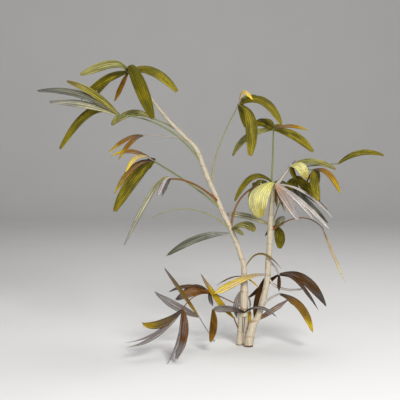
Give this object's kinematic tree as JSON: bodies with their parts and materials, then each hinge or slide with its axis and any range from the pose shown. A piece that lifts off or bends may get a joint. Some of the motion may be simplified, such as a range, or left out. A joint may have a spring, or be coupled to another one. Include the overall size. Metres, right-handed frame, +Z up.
{
  "type": "lady palm",
  "caption": "Young lady palm with leaning canes and fan fronds of arching pleated leaflets, in green, yellow, rust and dried grey",
  "frame": {"origin": "middle of the flat cut under the left main cane, at ground level", "axes": "+Z up, -Y the front that the picture shows, +X to its right"},
  "size_m": [1.0286, 0.4568, 0.8591],
  "materials": {
    "cane": "matte",
    "olive_leaf": "satin",
    "pale_leaf": "satin",
    "yellow_leaf": "satin",
    "rust_leaf": "matte",
    "dried_leaf": "matte"
  },
  "bodies": {
    "root": {"cane_left": "cane", "cane_right": "cane", "frond_top": "olive_leaf", "frond_left": "pale_leaf", "stalk_left": "pale_leaf", "frond_upper_inner": "pale_leaf", "stalk_upper_inner": "pale_leaf", "frond_twisted": "yellow_leaf", "stalk_twisted": "yellow_leaf", "frond_left_middle": "olive_leaf", "stalk_left_middle": "olive_leaf", "frond_folded": "dried_leaf", "stalk_folded": "dried_leaf", "frond_broken": "pale_leaf", "frond_grey_left": "dried_leaf", "frond_yellow_centre": "yellow_leaf", "stalk_yellow_centre": "yellow_leaf", "frond_right_top": "olive_leaf", "stalk_right_top": "olive_leaf", "frond_right_upper": "pale_leaf", "frond_far_right": "olive_leaf", "frond_right_hanging": "yellow_leaf", "frond_right_inner": "olive_leaf", "frond_crown_broad": "pale_leaf", "frond_crown_dried": "dried_leaf", "frond_crown_shaded": "olive_leaf", "frond_behind_crown": "pale_leaf", "stalk_behind_crown": "pale_leaf", "frond_between": "pale_leaf", "frond_curled": "yellow_leaf", "frond_hanging_middle": "olive_leaf", "frond_long_strip": "dried_leaf", "frond_arched_strip": "rust_leaf", "frond_right_low": "rust_leaf", "frond_brown_blade": "rust_leaf", "frond_yellow_left": "yellow_leaf", "frond_thin_right": "dried_leaf", "frond_small_yellow": "yellow_leaf", "frond_thin_arc": "rust_leaf", "frond_yellow_rising": "yellow_leaf", "frond_low_pair": "dried_leaf", "frond_low_hanging": "rust_leaf", "frond_left_low": "rust_leaf", "stalk_left_low": "rust_leaf", "frond_left_front": "dried_leaf", "stalk_left_front": "dried_leaf", "frond_left_pair": "dried_leaf", "stalk_left_pair": "dried_leaf", "frond_right_foot": "yellow_leaf", "frond_rust_foot": "rust_leaf", "frond_foot_shoot": "yellow_leaf", "sheath_left": "dried_leaf", "sheath_right": "dried_leaf"}
  },
  "joints": []
}
